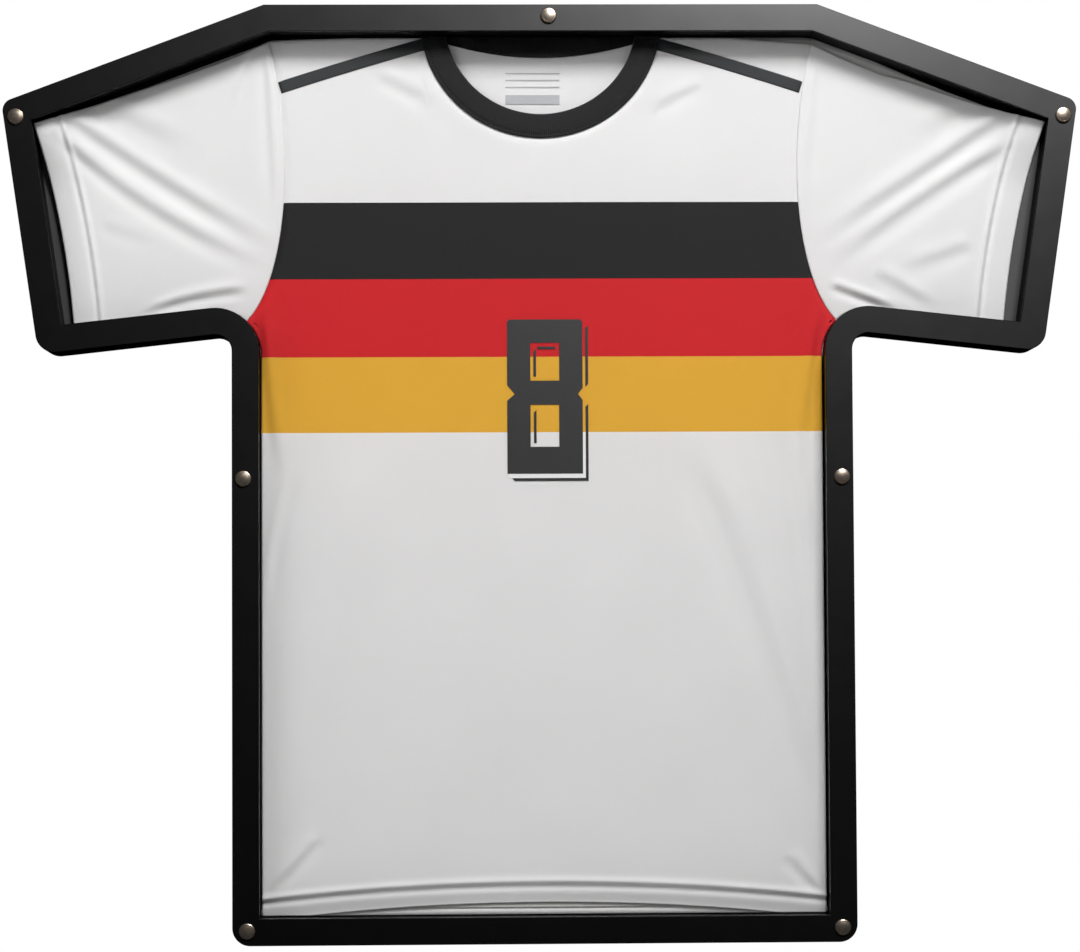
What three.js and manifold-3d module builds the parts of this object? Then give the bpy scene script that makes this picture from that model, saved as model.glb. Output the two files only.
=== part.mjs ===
// Wall-hung display frame in the outline of a short-sleeved jersey, with the jersey in it.
//
// A back panel, ten rails and seven threaded inserts make the case. A clear window and a black
// bezel make the cover, and seven cap screws go through both into the inserts. The jersey is
// drawn over a thin board and lies in the case. Two keyhole plates hang the case on a wall and
// four bumpers keep it off the wall.
//
// Millimetres, +Z up, the front faces -Y. The origin is on the wall, midway between the two
// points where the wall screws carry the keyhole plates. Left and right are as seen from the front.

import * as THREE from 'three';
import { mergeVertices } from 'three/addons/utils/BufferGeometryUtils.js';
import Module from 'manifold-3d';

// Outline, at its sharp corners before they are rounded
const height = 735;            // top edge to bottom edge
const topWidth = 435;          // straight top edge, shoulder corner to shoulder corner
const tipSpan = 844.6;         // across the upper corners of the sleeves
const tipDrop = 77;            // top edge down to the upper sleeve corners
const cuffSpan = 786.4;        // across the lower corners of the sleeves
const cuffDrop = 274.6;        // top edge down to the lower sleeve corners
const chestWidth = 485.4;      // across the body at the armpits
const armpitDrop = 258;        // top edge down to the armpits
const hemWidth = 485.4;        // across the body at the bottom
const tipRadius = 9.5;
const cuffRadius = 15;
const armpitRadius = 13;
const hemRadius = 14;

// Layers, from the wall to the front
const bumperThickness = 3;
const backThickness = 3;
const railDepth = 20;
const windowThickness = 2;
const bezelThickness = 3;

// Rim
const rimWidth = 21;           // visible width of the bezel
const bezelOverhang = 1;       // how far the bezel covers the window past the rails
const bezelArris = 0.4;        // small bevel on the bezel's edges
const jointGap = 0.3;          // glue line between two rails
const blockLength = 36;        // how far a corner rail runs past its corner
const armpitBlock = 42;        // how far the underarm rail runs down the side

// Cap screws and their inserts
const edgeScrewInset = 9;      // screws on a straight edge, from that edge
const topScrewShift = 6;       // the top screw stands this far to the right of the middle
const sideScrewDrop = 372.5;   // top edge down to the screws halfway down the sides
const tipScrewInset = 9.6;     // sleeve screws, from the end of the sleeve
const tipScrewDrop = 14.5;     // sleeve screws, from the shoulder edge
const hemScrewInset = 11.5;    // bottom screws, from both edges
const capRadius = 6.25;
const capEdge = 1.1;           // height of the cap's straight edge
const capBevel = 0.9;          // bevelled ring round the cap
const capDome = 0.6;           // how much the middle of the cap stands above its bevel
const shankRadius = 2.5;
const shankClearance = 0.3;    // between the shank and every hole round it
const threadDepth = 11;        // how far the shank goes into its insert
const insertWall = 1.5;
const insertLength = 14;
const insertClearance = 0.3;   // glue line between an insert and its rail

// Jersey and the board inside it
const fabricGap = 0.6;         // between the rails and the edge of the jersey
const layerGap = 0.3;          // between two layers that lie on each other
const seamGap = 0.4;           // between two sewn pieces
const backLayer = 1;           // thickness of the jersey's back
const boardThickness = 2;
const boardMargin = 3;         // how far the board stays inside the jersey's edge
const frontLoft = 4.5;         // room that the front and its folds take
const sleeveLoft = 8;          // room that the sleeves and their deeper folds take
const tipLoft = 14;            // and at their tips, where the cloth stands up to the window
const tipReach = 50;           // how far from the tip that goes
const collarLoft = 5.5;
const neckRadius = 76.2;       // neck opening
const neckDrop = 6;            // top edge down to the centre of the neck opening
const collarWidth = 19.7;
const seamTop = 222;           // armhole seam at the shoulder, from the middle
const seamChest = 192.5;       // what it swings in towards across the chest
const seamUnderarm = 197;      // and above the armpit
const cuffGap = 7;             // lower end of the sleeve hem, from the rail at the cuff
const cuffBow = 9;             // how far the sleeve hem bows in
const hemGap = 3;              // bottom hem above the bottom rail

// Hanging
const hangDrop = 110;          // top edge down to the wall screws
const hangSpacing = 300;       // between the two keyhole plates
const plateWidth = 16;
const plateHeight = 46;
const plateThickness = 1.5;
const plateCorner = 3;
const keyholeEntry = 4.75;     // radius that lets the head of a wall screw in
const keyholeNeck = 2.25;      // half width of the slot that its neck slides up
const keyholeTravel = 9;       // from the top of the slot down to the middle of the entry
const pocketMargin = 1.5;      // room round the keyhole in the back panel
const plateScrewSpacing = 36;
const plateScrewRadius = 1.5;
const plateScrewHead = 3;
const plateScrewHeadHeight = 1.2;
const bumperRadius = 6;
const bumperInset = 30;        // from both edges of a corner

// Facets
const arcSteps = 12;           // per rounded corner
const capSteps = 28;           // round a cap screw
const roundSteps = 16;         // round an insert, a bumper and a small screw
const holeSteps = 12;          // round a hole
const neckSteps = 72;          // round the neck opening

// Positions that follow from the sizes above
const topZ = hangDrop;
const bottomZ = topZ - height;
const railWidth = rimWidth - bezelOverhang;
const backY = -bumperThickness;            // rear face of the back panel
const railY = backY - backThickness;       // rear face of the rails
const windowY = railY - railDepth;         // rear face of the window
const bezelY = windowY - windowThickness;  // rear face of the bezel
const frontY = bezelY - bezelThickness;    // front face of the bezel
const backLayerY = railY - layerGap;
const boardY = backLayerY - backLayer - layerGap;
const jerseyY = boardY - boardThickness - layerGap;
const neckZ = topZ - neckDrop;
const cutterReach = 1;                     // how far a cutter stands out of what it cuts

const wasm = await Module();
wasm.setup();

const finish = {
  blackAcrylic: { color: 0x151517, roughness: 0.3, metalness: 0 },
  clearAcrylic: { color: 0xf2f6f6, roughness: 0.05, metalness: 0, transparent: true, opacity: 0.25 },
  blackBoard: { color: 0x1b1b1c, roughness: 0.6, metalness: 0 },
  nickel: { color: 0xb9b3a6, roughness: 0.25, metalness: 1 },
  brass: { color: 0xb08d4f, roughness: 0.4, metalness: 1 },
  zinc: { color: 0xa9adb0, roughness: 0.4, metalness: 1 },
  whiteKnit: { color: 0xe6e6e8, roughness: 0.85, metalness: 0 },
  blackRib: { color: 0x1c1c1e, roughness: 0.9, metalness: 0 },
  whiteBoard: { color: 0xdcdcda, roughness: 0.8, metalness: 0 },
  rubber: { color: 0x202022, roughness: 0.9, metalness: 0 },
};

const model = new THREE.Group();

function place(name, geometry, look, y = 0) {
  const mesh = new THREE.Mesh(geometry, new THREE.MeshStandardMaterial(look));
  mesh.name = name;
  mesh.position.y = y;
  model.add(mesh);
}

// Flat geometry

const along = (a, b) => {
  const length = Math.hypot(b.x - a.x, b.z - a.z);
  return { x: (b.x - a.x) / length, z: (b.z - a.z) / length, length };
};
const moved = (p, way, distance) => ({ ...p, x: p.x + way.x * distance, z: p.z + way.z * distance });
const mirrored = (p) => ({ ...p, x: -p.x });
const inwards = (way) => ({ x: way.z, z: -way.x });   // to the right of a clockwise outline

// The outline moved inwards. Outer corners get tighter and the armpits get wider.
function inset(outline, distance) {
  return outline.map((corner, i) => {
    const before = along(outline.at(i - 1), corner);
    const after = along(corner, outline[(i + 1) % outline.length]);
    const a = inwards(before);
    const b = inwards(after);
    const share = distance / (1 + a.x * b.x + a.z * b.z);
    const turnsRight = before.x * after.z - before.z * after.x < 0;
    const r = turnsRight ? Math.max(0, corner.r - distance) : corner.r + distance;
    return { x: corner.x + (a.x + b.x) * share, z: corner.z + (a.z + b.z) * share, r };
  });
}

// Points of a closed outline, with an arc at each corner that has a radius.
function rounded(outline) {
  return outline.flatMap((corner, i) => {
    if (!corner.r) return [new THREE.Vector2(corner.x, corner.z)];
    const back = along(corner, outline.at(i - 1));
    const on = along(corner, outline[(i + 1) % outline.length]);
    const half = Math.acos(back.x * on.x + back.z * on.z) / 2;
    const middle = along({ x: 0, z: 0 }, { x: back.x + on.x, z: back.z + on.z });
    const centre = moved(corner, middle, corner.r / Math.sin(half));
    const start = moved(corner, back, corner.r / Math.tan(half));
    const end = moved(corner, on, corner.r / Math.tan(half));
    const first = Math.atan2(start.z - centre.z, start.x - centre.x);
    const last = Math.atan2(end.z - centre.z, end.x - centre.x);
    const turn = Math.atan2(Math.sin(last - first), Math.cos(last - first));
    return Array.from({ length: arcSteps + 1 }, (_, k) => {
      const angle = first + (turn * k) / arcSteps;
      return new THREE.Vector2(centre.x + corner.r * Math.cos(angle), centre.z + corner.r * Math.sin(angle));
    });
  });
}

function circlePoints(centre, radius, steps) {
  return Array.from({ length: steps }, (_, k) => {
    const angle = (2 * Math.PI * k) / steps;
    return new THREE.Vector2(centre.x + radius * Math.cos(angle), centre.z + radius * Math.sin(angle));
  });
}

const hole = (centre, radius) => new THREE.Path(circlePoints(centre, radius, holeSteps));

// A flat piece that lies across Y. Its rear face is at y = 0 and it grows towards the front.
function sheet(points, thickness, holes = [], arris = 0) {
  const shape = new THREE.Shape(THREE.ShapeUtils.isClockWise(points) ? [...points].reverse() : points);
  shape.holes.push(...holes);
  const geometry = new THREE.ExtrudeGeometry(shape, {
    depth: thickness - 2 * arris,
    bevelEnabled: arris > 0,
    bevelThickness: arris,
    bevelSize: arris,
    bevelOffset: -arris,
    bevelSegments: 1,
  });
  geometry.translate(0, 0, arris);
  geometry.rotateX(Math.PI / 2);
  return geometry;
}

function turned(profile, centre, steps = roundSteps) {
  const points = profile.map(([radius, y]) => new THREE.Vector2(radius, y));
  const geometry = new THREE.LatheGeometry(points, steps);
  geometry.translate(centre.x, 0, centre.z);
  return geometry;
}

// Solids for cutting and joining

function solid(geometry) {
  const bare = geometry.clone();
  bare.deleteAttribute('normal');
  bare.deleteAttribute('uv');
  const merged = mergeVertices(bare);
  return new wasm.Manifold(new wasm.Mesh({
    numProp: 3,
    vertProperties: new Float32Array(merged.attributes.position.array),
    triVerts: new Uint32Array(merged.index.array),
  }));
}

function meshed(body) {
  const { vertProperties, triVerts } = body.getMesh();
  const geometry = new THREE.BufferGeometry();
  geometry.setAttribute('position', new THREE.BufferAttribute(vertProperties, 3));
  geometry.setIndex(new THREE.BufferAttribute(triVerts, 1));
  geometry.computeVertexNormals();
  return geometry;
}

// Outline of the frame, clockwise from the right shoulder

const rightCorners = [
  { x: topWidth / 2, z: topZ, r: 0 },
  { x: tipSpan / 2, z: topZ - tipDrop, r: tipRadius },
  { x: cuffSpan / 2, z: topZ - cuffDrop, r: cuffRadius },
  { x: chestWidth / 2, z: topZ - armpitDrop, r: armpitRadius },
  { x: hemWidth / 2, z: bottomZ, r: hemRadius },
];
const outline = [...rightCorners, ...rightCorners.map(mirrored).reverse()];
const [shoulderR, tipR, cuffR, armpitR, hemR, hemL, armpitL, cuffL, tipL, shoulderL] = outline.keys();

// Cap screws

// The point at a corner that is one distance from the edge before it and another from the edge after.
function insideCorner(corner, fromBefore, fromAfter) {
  const before = along(outline.at(corner - 1), outline[corner]);
  const after = along(outline[corner], outline[(corner + 1) % outline.length]);
  const sine = after.x * before.z - before.x * after.z;
  return moved(moved(outline[corner], before, -fromAfter / sine), after, fromBefore / sine);
}

const tipScrew = insideCorner(tipR, tipScrewDrop, tipScrewInset);
const hemScrew = insideCorner(hemR, hemScrewInset, hemScrewInset);
const sideEdge = along(outline[armpitR], outline[hemR]);
const sideShare = (sideScrewDrop - armpitDrop) / (height - armpitDrop);
const sideScrew = moved(
  moved(outline[armpitR], sideEdge, sideShare * sideEdge.length),
  inwards(sideEdge),
  edgeScrewInset,
);
const screws = {
  top: { x: topScrewShift, z: topZ - edgeScrewInset },
  sleeve_right: tipScrew,
  sleeve_left: mirrored(tipScrew),
  side_right: sideScrew,
  side_left: mirrored(sideScrew),
  bottom_right: hemScrew,
  bottom_left: mirrored(hemScrew),
};
const screwHoles = Object.values(screws).map((p) => hole(p, shankRadius + shankClearance));

function capScrew(centre) {
  return turned([
    [0, frontY - capEdge - capBevel - capDome],
    [(capRadius - capBevel) * 0.55, frontY - capEdge - capBevel - capDome * 0.75],
    [capRadius - capBevel * 1.6, frontY - capEdge - capBevel],
    [capRadius, frontY - capEdge],
    [capRadius, frontY],
    [shankRadius, frontY],
    [shankRadius, windowY + threadDepth],
    [0, windowY + threadDepth],
  ], centre, capSteps);
}

function insert(centre) {
  const bore = shankRadius + shankClearance;
  return turned([
    [bore, windowY],
    [bore + insertWall, windowY],
    [bore + insertWall, windowY + insertLength],
    [bore, windowY + insertLength],
    [bore, windowY],
  ], centre);
}

for (const [where, centre] of Object.entries(screws)) {
  place(`cap_screw_${where}`, capScrew(centre), finish.nickel);
  place(`insert_${where}`, insert(centre), finish.brass);
}

// Cover: the bezel and the window

const bezelHole = new THREE.Path(rounded(inset(outline, rimWidth)));
place('bezel', sheet(rounded(outline), bezelThickness, [bezelHole, ...screwHoles], bezelArris),
  finish.blackAcrylic, bezelY);
place('window', sheet(rounded(outline), windowThickness, screwHoles), finish.clearAcrylic, windowY);

// Rails: a rail runs clockwise from one joint to the next, round the corners between them

const railLine = inset(outline, railWidth);

// A joint across the edge that leaves a corner, square to it.
function buttAt(corner, distance) {
  const edge = along(outline[corner], outline[(corner + 1) % outline.length]);
  const reach = distance > 0 ? distance : edge.length + distance;
  const outer = { ...moved(outline[corner], edge, reach), r: 0 };
  return { outer, inner: moved(outer, inwards(edge), railWidth), before: edge, after: edge };
}

function mitreAt(corner) {
  const before = along(outline.at(corner - 1), outline[corner]);
  const after = along(outline[corner], outline[(corner + 1) % outline.length]);
  return { outer: outline[corner], inner: railLine[corner], before, after };
}

function rail(start, corners, end) {
  const half = jointGap / 2;
  const outer = [
    moved(start.outer, start.after, half),
    ...corners.map((i) => outline[i]),
    moved(end.outer, end.before, -half),
  ];
  const inner = [
    moved(start.inner, start.after, half),
    ...corners.map((i) => railLine[i]),
    moved(end.inner, end.before, -half),
  ];
  return rounded([...outer, ...inner.reverse()]);
}

const joints = [
  mitreAt(shoulderR), buttAt(shoulderR, -blockLength), buttAt(cuffR, blockLength),
  buttAt(armpitR, armpitBlock), buttAt(armpitR, -blockLength), buttAt(hemL, blockLength),
  buttAt(hemL, -armpitBlock), buttAt(armpitL, -blockLength), buttAt(tipL, blockLength),
  mitreAt(shoulderL),
];
const rails = [
  { name: 'rail_shoulder_right', corners: [], screws: [] },
  { name: 'rail_cuff_right', corners: [tipR, cuffR], screws: ['sleeve_right'] },
  { name: 'rail_underarm_right', corners: [armpitR], screws: [] },
  { name: 'rail_side_right', corners: [], screws: ['side_right'] },
  { name: 'rail_bottom', corners: [hemR, hemL], screws: ['bottom_right', 'bottom_left'] },
  { name: 'rail_side_left', corners: [], screws: ['side_left'] },
  { name: 'rail_underarm_left', corners: [armpitL], screws: [] },
  { name: 'rail_cuff_left', corners: [cuffL, tipL], screws: ['sleeve_left'] },
  { name: 'rail_shoulder_left', corners: [], screws: [] },
  { name: 'rail_top', corners: [], screws: ['top'] },
];
const insertHole = shankRadius + shankClearance + insertWall + insertClearance;
rails.forEach(({ name, corners, screws: held }, i) => {
  const points = rail(joints[i], corners, joints[(i + 1) % joints.length]);
  const holes = held.map((where) => hole(screws[where], insertHole));
  place(name, sheet(points, railDepth, holes), finish.blackAcrylic, railY);
});

// Back panel, keyhole plates and bumpers

const hangPoints = { left: -hangSpacing / 2, right: hangSpacing / 2 };
const keyholeBottom = -keyholeTravel - keyholeEntry;
const plateMiddle = keyholeBottom / 2;
const rectangle = (x, z, width, tall, r) => [
  { x: x - width / 2, z: z + tall / 2, r },
  { x: x + width / 2, z: z + tall / 2, r },
  { x: x + width / 2, z: z - tall / 2, r },
  { x: x - width / 2, z: z - tall / 2, r },
];
const plateScrews = (x) => ({
  upper: { x, z: plateMiddle + plateScrewSpacing / 2 },
  lower: { x, z: plateMiddle - plateScrewSpacing / 2 },
});

// A round entry with a narrower slot above it.
function keyhole(x) {
  const open = Math.asin(keyholeNeck / keyholeEntry);
  const path = new THREE.Path();
  path.absarc(x, -keyholeTravel, keyholeEntry, Math.PI / 2 - open, Math.PI / 2 + open, true);
  path.absarc(x, -keyholeNeck, keyholeNeck, Math.PI, 0, true);
  return new THREE.Path(path.getPoints(holeSteps / 2));
}

const backHoles = Object.values(hangPoints).flatMap((x) => {
  const width = 2 * (keyholeEntry + pocketMargin);
  const tall = 2 * pocketMargin - keyholeBottom;
  const pocket = new THREE.Path(rounded(rectangle(x, plateMiddle, width, tall, pocketMargin)));
  const threaded = Object.values(plateScrews(x)).map((p) => hole(p, plateScrewRadius + shankClearance));
  return [pocket, ...threaded];
});
place('back_panel', sheet(rounded(outline), backThickness, backHoles), finish.blackBoard, backY);

for (const [side, x] of Object.entries(hangPoints)) {
  const points = rounded(rectangle(x, plateMiddle, plateWidth, plateHeight, plateCorner));
  const heads = Object.entries(plateScrews(x));
  const holes = [keyhole(x), ...heads.map(([, p]) => hole(p, plateScrewRadius + shankClearance))];
  place(`keyhole_plate_${side}`, sheet(points, plateThickness, holes), finish.zinc, backY + plateThickness);
  for (const [level, centre] of heads) {
    const seat = backY + plateThickness;
    place(`plate_screw_${side}_${level}`, turned([
      [0, railY],
      [plateScrewRadius, railY],
      [plateScrewRadius, seat],
      [plateScrewHead, seat],
      [plateScrewHead * 0.8, seat + plateScrewHeadHeight],
      [0, seat + plateScrewHeadHeight],
    ], centre), finish.zinc);
  }
}

const bumperLine = inset(outline, bumperInset);
const bumpers = {
  upper_right: bumperLine[tipR],
  upper_left: bumperLine[tipL],
  lower_right: bumperLine[hemR],
  lower_left: bumperLine[hemL],
};
for (const [where, centre] of Object.entries(bumpers)) {
  place(`bumper_${where}`, turned([
    [0, backY],
    [bumperRadius, backY],
    [bumperRadius * 0.85, 0],
    [0, 0],
  ], centre), finish.rubber);
}

// Jersey: each sewn piece is cut from the outline of the space inside the rails

const fabricLine = inset(outline, railWidth + fabricGap);
const armpitCut = fabricLine[armpitR].r * (Math.SQRT2 - 1);   // from the sharp corner to its arc
const hemZ = fabricLine[hemR].z + hemGap;
const seamEnd = moved(fabricLine[armpitR], along(fabricLine[armpitR], outline[armpitR]), armpitCut);
const curvePoints = (curve) => curve.getPoints(arcSteps);
const vector = (x, z) => new THREE.Vector2(x, z);
const armhole = curvePoints(new THREE.CubicBezierCurve(
  vector(seamTop, topZ),
  vector(seamChest, topZ - (topZ - seamEnd.z) * 0.35),
  vector(seamUnderarm, topZ - (topZ - seamEnd.z) * 0.85),
  vector(seamEnd.x, seamEnd.z),
));
const cuffTop = fabricLine[tipR];
const cuffLow = moved(fabricLine[cuffR], along(fabricLine[cuffR], fabricLine[armpitR]), cuffGap);
const cuffMiddle = vector((cuffTop.x + cuffLow.x) / 2 - cuffBow, (cuffTop.z + cuffLow.z) / 2);
const cuffLine = curvePoints(new THREE.QuadraticBezierCurve(
  vector(cuffTop.x, cuffTop.z),
  cuffMiddle,
  vector(cuffLow.x, cuffLow.z),
));
const shifted = (points, dx) => points.map((p) => vector(p.x + dx, p.y));
const flipped = (points) => points.map((p) => vector(-p.x, p.y)).reverse();

// Between the two armhole seams, from the hem up. Under the arms it follows the frame's outline.
const bodySide = [...armhole, vector(chestWidth / 2, topZ - armpitDrop), vector(hemWidth / 2, hemZ)];
const bodyRegion = [...flipped(bodySide), ...bodySide];
// From the right armhole seam out to the sleeve hem.
const sleeveRegion = [
  ...shifted(armhole, seamGap), vector(chestWidth / 2 + seamGap, topZ - armpitDrop),
  vector(cuffLow.x, topZ - cuffDrop), ...[...cuffLine].reverse(), vector(cuffTop.x, topZ),
];
// The whole jersey: the hem below, the sleeve hems at the sides.
const wholeRegion = [
  vector(cuffTop.x, topZ), ...cuffLine, vector(cuffLow.x, hemZ), vector(-cuffLow.x, hemZ),
  ...flipped(cuffLine), vector(-cuffTop.x, topZ),
];

// A cutter stands out of both faces of what it cuts.
const cutter = (points, loft) => (
  solid(sheet(points, loft + 2 * cutterReach).translate(0, cutterReach, 0))
);
const blank = (loft) => solid(sheet(rounded(fabricLine), loft));
const neckCentre = { x: 0, z: neckZ };
const disc = (radius, loft) => cutter(circlePoints(neckCentre, radius, neckSteps), loft);

place('jersey_back', meshed(blank(backLayer).intersect(cutter(wholeRegion, backLayer))),
  finish.whiteKnit, backLayerY);

const boardLine = inset(outline, railWidth + fabricGap + boardMargin);
const boardSides = wholeRegion.map((p) => vector(p.x - Math.sign(p.x) * boardMargin, p.y + boardMargin));
place('shirt_board', meshed(
  solid(sheet(rounded(boardLine), boardThickness))
    .intersect(cutter(boardSides, boardThickness))
    .subtract(disc(neckRadius + collarWidth + boardMargin, boardThickness)),
), finish.whiteBoard, boardY);

place('jersey_front', meshed(
  blank(frontLoft)
    .intersect(cutter(bodyRegion, frontLoft))
    .subtract(disc(neckRadius + collarWidth + seamGap, frontLoft)),
), finish.whiteKnit, jerseyY);

place('collar', meshed(
  blank(collarLoft)
    .intersect(disc(neckRadius + collarWidth, collarLoft))
    .subtract(disc(neckRadius, collarLoft)),
), finish.blackRib, jerseyY);

for (const [side, region] of [['right', sleeveRegion], ['left', flipped(sleeveRegion)]]) {
  const tip = { x: side === 'right' ? cuffTop.x : -cuffTop.x, z: cuffTop.z };
  const raised = cutter(circlePoints(tip, tipReach, neckSteps), tipLoft);
  place(`sleeve_${side}`, meshed(
    blank(sleeveLoft)
      .add(blank(tipLoft).intersect(raised))
      .intersect(cutter(region, tipLoft)),
  ), finish.whiteKnit, jerseyY);
}

export default model;
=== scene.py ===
import math

import bmesh
import bpy
import numpy as np
from mathutils import Matrix, Vector


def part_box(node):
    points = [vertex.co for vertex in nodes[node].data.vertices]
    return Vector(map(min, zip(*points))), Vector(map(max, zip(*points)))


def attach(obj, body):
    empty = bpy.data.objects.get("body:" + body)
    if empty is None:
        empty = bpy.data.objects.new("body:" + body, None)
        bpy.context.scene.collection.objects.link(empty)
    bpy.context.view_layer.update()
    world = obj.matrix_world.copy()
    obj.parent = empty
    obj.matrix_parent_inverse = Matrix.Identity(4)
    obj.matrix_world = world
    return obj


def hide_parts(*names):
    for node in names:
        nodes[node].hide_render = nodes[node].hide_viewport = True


# Jersey display frame. Metres, +Z up, the front faces -Y, the origin is on the wall.
# The frame comes ready made; the jersey, its prints and the screws are made here.

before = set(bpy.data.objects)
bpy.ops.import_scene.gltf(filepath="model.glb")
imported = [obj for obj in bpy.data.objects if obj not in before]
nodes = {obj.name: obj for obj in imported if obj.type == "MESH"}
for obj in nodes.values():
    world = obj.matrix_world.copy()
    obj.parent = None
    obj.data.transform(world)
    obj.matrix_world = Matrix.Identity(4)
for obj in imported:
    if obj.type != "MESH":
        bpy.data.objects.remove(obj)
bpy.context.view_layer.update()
print("frame loaded:", len(nodes), "nodes")

mm = 0.001
bezelLow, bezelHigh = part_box("bezel")
topZ = bezelHigh.z      # top edge of the frame
frontY = bezelLow.y     # front face of the bezel

camera = dict(
    place=(-0.0342, -1.901, -0.3869),
    turn=0.96,        # degrees to the right
    tilt=1.87,        # degrees up
    roll=0.3,         # degrees clockwise
    lens=80,
    shiftY=0.0766,
)


def makeCamera(c):
    data = bpy.data.cameras.new("camera")
    data.lens, data.sensor_width, data.shift_y = c["lens"], 36, c["shiftY"]
    data.clip_start, data.clip_end = 0.05, 60
    thing = bpy.data.objects.new("camera", data)
    bpy.context.scene.collection.objects.link(thing)
    turn = Matrix.Rotation(math.radians(-c["turn"]), 4, "Z")
    tilt = Matrix.Rotation(math.radians(90 + c["tilt"]), 4, "X")
    roll = Matrix.Rotation(math.radians(-c["roll"]), 4, "Z")
    thing.matrix_world = Matrix.Translation(c["place"]) @ turn @ tilt @ roll
    bpy.context.scene.camera = thing


# name: place, aim, width, height, power, colour, and which surfaces it serves: the matt cloth is
# lit from the upper right and the left, and the gloss of the black rim by one box above it
lights = {
    "keySoftbox": ((0.38, -1.3, 1.5), (0.0, 0.0, -0.15), 0.8, 0.6, 48, "#ffffff", "cloth"),
    "leftSoftbox": ((-2.2, -1.7, 0.6), (0.0, 0.0, -0.2), 1.4, 1.6, 17, "#ffffff", "cloth"),
    "glossSoftbox": ((0.6, -1.9, 1.38), (0.1, 0.0, -0.1), 0.6, 0.6, 165, "#ffffff", "gloss"),
    "backSoftbox": ((0.3, 2.4, 1.6), (0.0, 0.0, -0.3), 2.2, 1.6, 60, "#ffffff", "both"),
}


def linear(hexColour):
    # sRGB hex to linear: the low end is divided by 12.92, the rest is a 2.4 power
    parts = [int(hexColour[i:i + 2], 16) / 255 for i in (1, 3, 5)]
    return tuple(c / 12.92 if c <= 0.04045 else ((c + 0.055) / 1.055) ** 2.4 for c in parts) + (1,)


def makeLights():
    for name, (place, aim, width, height, power, colour, serves) in lights.items():
        data = bpy.data.lights.new(name, "AREA")
        data.shape, data.size, data.size_y = "RECTANGLE", width, height
        data.energy, data.color = power, linear(colour)[:3]
        thing = bpy.data.objects.new(name, data)
        thing.visible_glossy = serves != "cloth"
        thing.visible_diffuse = serves != "gloss"
        thing.location = place
        thing.rotation_euler = (Vector(aim) - Vector(place)).to_track_quat("-Z", "Y").to_euler()
        bpy.context.scene.collection.objects.link(thing)


def addNode(tree, kind, settings=None, values=None, links=None):
    # one node: its settings, the values on its sockets and what is linked into them
    made = tree.nodes.new("ShaderNode" + kind)
    for name, value in (settings or {}).items():
        setattr(made, name, value)
    for name, value in (values or {}).items():
        made.inputs[name].default_value = value
    for name, source in (links or {}).items():
        tree.links.new(source, made.inputs[name])
    return made


def makeWorld():
    # white to the eye and dim as a light, so that the black rim has little to mirror
    world = bpy.data.worlds.new("studio")
    world.use_nodes = True
    tree = world.node_tree
    tree.nodes.clear()
    seen = addNode(tree, "Background", values={"Color": (1, 1, 1, 1), "Strength": 1.0})
    fill = addNode(tree, "Background", values={"Color": (1, 1, 1, 1), "Strength": 0.16})
    path = addNode(tree, "LightPath")
    mix = addNode(tree, "MixShader", links={0: path.outputs["Is Camera Ray"],
                                            1: fill.outputs[0], 2: seen.outputs[0]})
    addNode(tree, "OutputWorld", links={"Surface": mix.outputs[0]})
    bpy.context.scene.world = world
    world.cycles_visibility.glossy = False
    bpy.context.scene.view_settings.view_transform = "Standard"


makeCamera(camera)
makeLights()
makeWorld()
print("camera and lights set")


def newMaterial(name):
    made = bpy.data.materials.new(name)
    made.use_nodes = True
    made.node_tree.nodes.clear()
    return made, made.node_tree


def finishMaterial(tree, values, links=None):
    body = addNode(tree, "BsdfPrincipled", values=values, links=links)
    addNode(tree, "OutputMaterial", links={"Surface": body.outputs[0]})


def castAcrylic(name, roughness, specular):
    # cast acrylic sheet, laser cut and lightly rubbed: deep black under a soft, even gloss
    made, tree = newMaterial(name)
    where = addNode(tree, "TexCoord").outputs["Object"]
    haze = addNode(tree, "TexNoise", values={"Scale": 60, "Detail": 4}, links={"Vector": where})
    rough = addNode(tree, "MapRange", values={"To Min": roughness - 0.015, "To Max": roughness + 0.015},
                    links={"Value": haze.outputs[0]})
    dust = addNode(tree, "TexNoise", values={"Scale": 2200, "Detail": 2}, links={"Vector": where})
    bump = addNode(tree, "Bump", values={"Strength": 0.05, "Distance": 0.0003},
                   links={"Height": dust.outputs[0]})
    finishMaterial(tree, {"Base Color": linear("#020203"), "IOR": 1.49, "Specular IOR Level": specular},
                   {"Roughness": rough.outputs[0], "Normal": bump.outputs[0]})
    return made


def clearAcrylic():
    # extruded clear acrylic: seen straight through, with the faint mirror of a polished sheet
    made, tree = newMaterial("clearAcrylicSheet")
    through = addNode(tree, "BsdfTransparent", values={"Color": linear("#fefefe")})
    mirror = addNode(tree, "BsdfGlossy", values={"Roughness": 0.03})
    # the mirrored share by Schlick's rule, 0.04 + 0.96 (1 - cos)^5, the same from both sides
    facing = addNode(tree, "LayerWeight", values={"Blend": 0.5})
    fifth = addNode(tree, "Math", {"operation": "POWER"}, {1: 5.0}, {0: facing.outputs["Facing"]})
    share = addNode(tree, "Math", {"operation": "MULTIPLY_ADD"}, {1: 0.96, 2: 0.04}, {0: fifth.outputs[0]})
    mix = addNode(tree, "MixShader", links={0: share.outputs[0], 1: through.outputs[0],
                                            2: mirror.outputs[0]})
    addNode(tree, "OutputMaterial", links={"Surface": mix.outputs[0]})
    return made


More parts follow.
